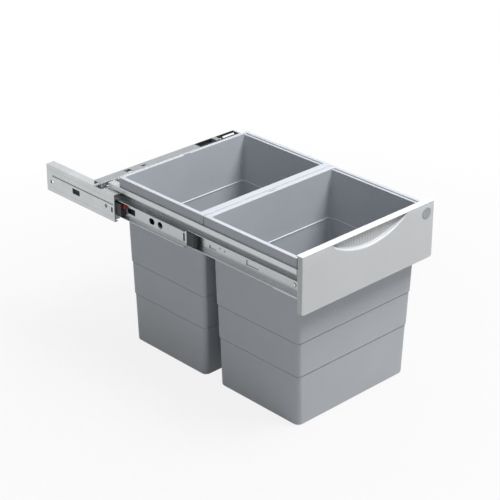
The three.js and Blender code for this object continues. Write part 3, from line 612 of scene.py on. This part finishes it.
# Pressed collars round the intermediate rail's holes: a half ellipse across, swept round the hole.
# They stay lower than the room between the rail and the moulded stop that it passes.
def collar(sideName, side, number, along, radius):
    rail = "intermediate_rail_" + sideName
    low, high = boxOf(rail)
    face = side * collars["face"]
    sunk = face - side * collars["sunk"]
    profile = []
    for turn in np.linspace(0, math.pi, 9):
        across = radius + collars["width"] * (1 - math.cos(turn))
        profile.append((face + side * collars["height"] * math.sin(turn), across))
    profile += [(sunk, radius + 2 * collars["width"]), (sunk, radius), profile[0]]
    centre = (low[1] + along, (low[2] + high[2]) / 2 + collars["above"])
    turnedPiece(
        "rail_collar_{}_{}".format(number, sideName), profile, "x", centre, "slide_steel",
        bodyOf[rail], collars["steps"],
    )


for sideName, side in (("left", -1), ("right", 1)):
    for number, (along, radius) in enumerate(collars["rings"], 1):
        collar(sideName, side, number, along, radius)
print("turned pieces made")

# Folds are rounded by fold and cut edges by cut; an edge longer than foldFrom is a fold. Faces
# within flatAngle of each other are one flat region, and an edge over bentAngle is rounded.
sheetEdges = {
    "fold": 0.7, "cut": 0.2, "foldFrom": 60.0, "flatAngle": 0.6, "bentAngle": 25.0, "segments": 3,
}
mouldedEdges = {**sheetEdges, "fold": 0.8, "cut": 0.4, "foldFrom": 9.0}
frontEdges = {"frame_rear_rail": 465.1}  # where a flange's front edge is trimmed


# A bent or cut sheet: the node's own faces with flat regions joined, long folds rounded more
# than cut edges.
def pressedSheet(node, edges):
    mesh = frame["nodes"][node].data.copy()
    mesh.name = node + "_sheet"
    work = bmesh.new()
    work.from_mesh(mesh)
    if node in frontEdges:
        limit = place([0, frontEdges[node], 0])[1]
        for corner in work.verts:
            corner.co.y = max(corner.co.y, limit)
    bmesh.ops.remove_doubles(work, verts=work.verts, dist=samePlace)
    bmesh.ops.dissolve_limit(
        work, angle_limit=math.radians(edges["flatAngle"]), verts=work.verts, edges=work.edges,
        delimit={"NORMAL"},
    )
    layers = work.edges.layers.float
    weight = layers.get("bevel_weight_edge") or layers.new("bevel_weight_edge")
    for edge in work.edges:
        isFold = edge.calc_length() > edges["foldFrom"] * mm
        isBent = (
            len(edge.link_faces) == 2 and edge.calc_face_angle() > math.radians(edges["bentAngle"])
        )
        edge[weight] = (1.0 if isFold else edges["cut"] / edges["fold"]) if isBent else 0.0
    for face in work.faces:
        face.smooth = True
    work.to_mesh(mesh)
    work.free()
    mesh.materials.clear()
    mesh.materials.append(finishes[slotOf[node]])
    piece = newObject(node + "_sheet", mesh)
    bevel = piece.modifiers.new("folds", "BEVEL")
    bevel.width = edges["fold"] * mm
    bevel.segments = edges["segments"]
    bevel.limit_method = "WEIGHT"
    bevel.use_clamp_overlap = True
    evenShading(piece)
    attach(piece, bodyOf[node])
    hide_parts(node)


for nodeName in (
    "frame_side_rail_left", "frame_side_rail_right", "frame_front_rail", "frame_middle_rail",
    "frame_rear_rail", "panel_bracket_left", "panel_bracket_right", "bar_bracket_left",
    "bar_bracket_right", "rear_bar", "wall_bracket_left", "wall_bracket_right",
    "cabinet_rail_left", "cabinet_rail_right", "intermediate_rail_left",
    "intermediate_rail_right", "drawer_rail_left", "drawer_rail_right",
):
    pressedSheet(nodeName, sheetEdges)
for nodeName in (
    "end_stop_left", "end_stop_right", "rail_bumper_left", "rail_bumper_right",
    "release_tab_left", "release_tab_right", "catch_slider", "damper_tray",
):
    pressedSheet(nodeName, mouldedEdges)
print("sheet metal made")

# Sizes and reaches are in metres; drop, middle, lampAim, target, distance, lens and sensor in
# millimetres. The floor's glow grows from nearGlow, as far as nearReach, to 1 at farReach.
stage = {
    "floorHalf": 14.0, "floorShades": ((0.44, 0.44, 0.44), (0.46, 0.46, 0.46)), "drop": 346.9,
    "speckle": (3.0, 2.0, 0.5), "nearGlow": 0.86, "nearReach": 0.45, "farReach": 1.1,
    "middle": (0.0, 232.0), "world": 0.21, "reach": 3.2, "lampAim": (0.0, 232.0, -150.0),
    "lamps": {
        "key light": {"from": (0.3, -0.37, 0.88), "width": 1.6, "power": 140.0},
        "top light": {"from": (0.25, 0.1, 1.0), "width": 2.2, "power": 35.0},
        "side light": {"from": (-0.86, -0.1, 0.3), "width": 1.6, "power": 9.0},
    },
    "distance": 2990.9, "lens": 118.34, "sensor": 36.0, "azimuth": -43.69, "elevation": 26.38,
    "target": (-54.3, 232.0, -102.5), "farClip": 100.0,
}
white = (1.0, 1.0, 1.0, 1.0)


def cameraShare(nodes, share):
    # share where the camera, a mirror or glass looks, and 0 where light bounces
    ray = nodes.add("ShaderNodeLightPath")
    direct = ray.math("MAXIMUM", ray.out("Is Camera Ray"), ray.out("Is Glossy Ray"))
    return ray.math("MAXIMUM", direct, ray.out("Is Transmission Ray")) * share


ground = place([*stage["middle"], -stage["drop"]])
floorLook = Finish("floor", Roughness=0.9, Specular_IOR_Level=0.0)
speckle = floorLook.noise(*stage["speckle"])
floorLook.feed("Base Color", floorLook.mix(speckle, *stage["floorShades"]))
centred = floorLook.add(
    "ShaderNodeVectorMath", {0: floorLook.position, 1: tuple(ground)}, operation="SUBTRACT"
)
away = floorLook.add("ShaderNodeVectorMath", {0: centred}, operation="LENGTH").out("Value")
distant = ((away - stage["nearReach"]) / (stage["farReach"] - stage["nearReach"])).clip()
glow = distant * (1.0 - stage["nearGlow"]) + stage["nearGlow"]
lit = floorLook.add("ShaderNodeEmission", {"Color": white, "Strength": 1.0})
blended = floorLook.add("ShaderNodeMixShader", {
    0: cameraShare(floorLook, glow), 1: Wire(floorLook, floorLook.shader.outputs[0]), 2: lit,
})
surface = floorLook.tree.nodes["Material Output"].inputs["Surface"]
floorLook.tree.links.new(blended.socket, surface)

corners = np.array([(-1, -1), (1, -1), (1, 1), (-1, 1)]) * stage["floorHalf"]
floorMesh = bpy.data.meshes.new("floor")
floorMesh.from_pydata([(x, y, ground[2]) for x, y in corners.tolist()], [], [(0, 1, 2, 3)])
floorMesh.materials.append(floorLook.material)
newObject("floor", floorMesh)

world = bpy.data.worlds.new("studio")
bpy.context.scene.world = world
world.use_nodes = True
world.node_tree.nodes.clear()
sky = Nodes(world.node_tree)
dim = sky.add("ShaderNodeBackground", {"Color": white, "Strength": stage["world"]})
bright = sky.add("ShaderNodeBackground", {"Color": white, "Strength": 1.0})
seen = sky.add("ShaderNodeMixShader", {0: cameraShare(sky, 1.0), 1: dim, 2: bright})
worldOutput = world.node_tree.nodes.new("ShaderNodeOutputWorld")
world.node_tree.links.new(seen.socket, worldOutput.inputs["Surface"])


def softLamp(name, look):
    data = bpy.data.lights.new(name, "AREA")
    data.shape = "SQUARE"
    data.size = look["width"]
    data.energy = look["power"]
    lamp = newObject(name, data)
    toward = Vector(look["from"]).normalized()
    lamp.location = Vector(place(stage["lampAim"])) + toward * stage["reach"]
    lamp.rotation_euler = toward.to_track_quat("Z", "Y").to_euler()


for lampName, lampLook in stage["lamps"].items():
    softLamp(lampName, lampLook)

azimuth, elevation = math.radians(stage["azimuth"]), math.radians(stage["elevation"])
back = np.array([
    math.sin(azimuth) * math.cos(elevation),
    -math.cos(azimuth) * math.cos(elevation),
    math.sin(elevation),
])
cameraData = bpy.data.cameras.new("camera")
cameraData.lens = stage["lens"]
cameraData.sensor_width = stage["sensor"]
cameraData.clip_end = stage["farClip"]
camera = newObject("camera", cameraData)
camera.location = place(stage["target"]) + back * stage["distance"] * mm
camera.rotation_euler = (math.pi / 2 - elevation, 0.0, azimuth)
bpy.context.scene.camera = camera
bpy.context.scene.view_settings.view_transform = "Standard"
print("stage set")
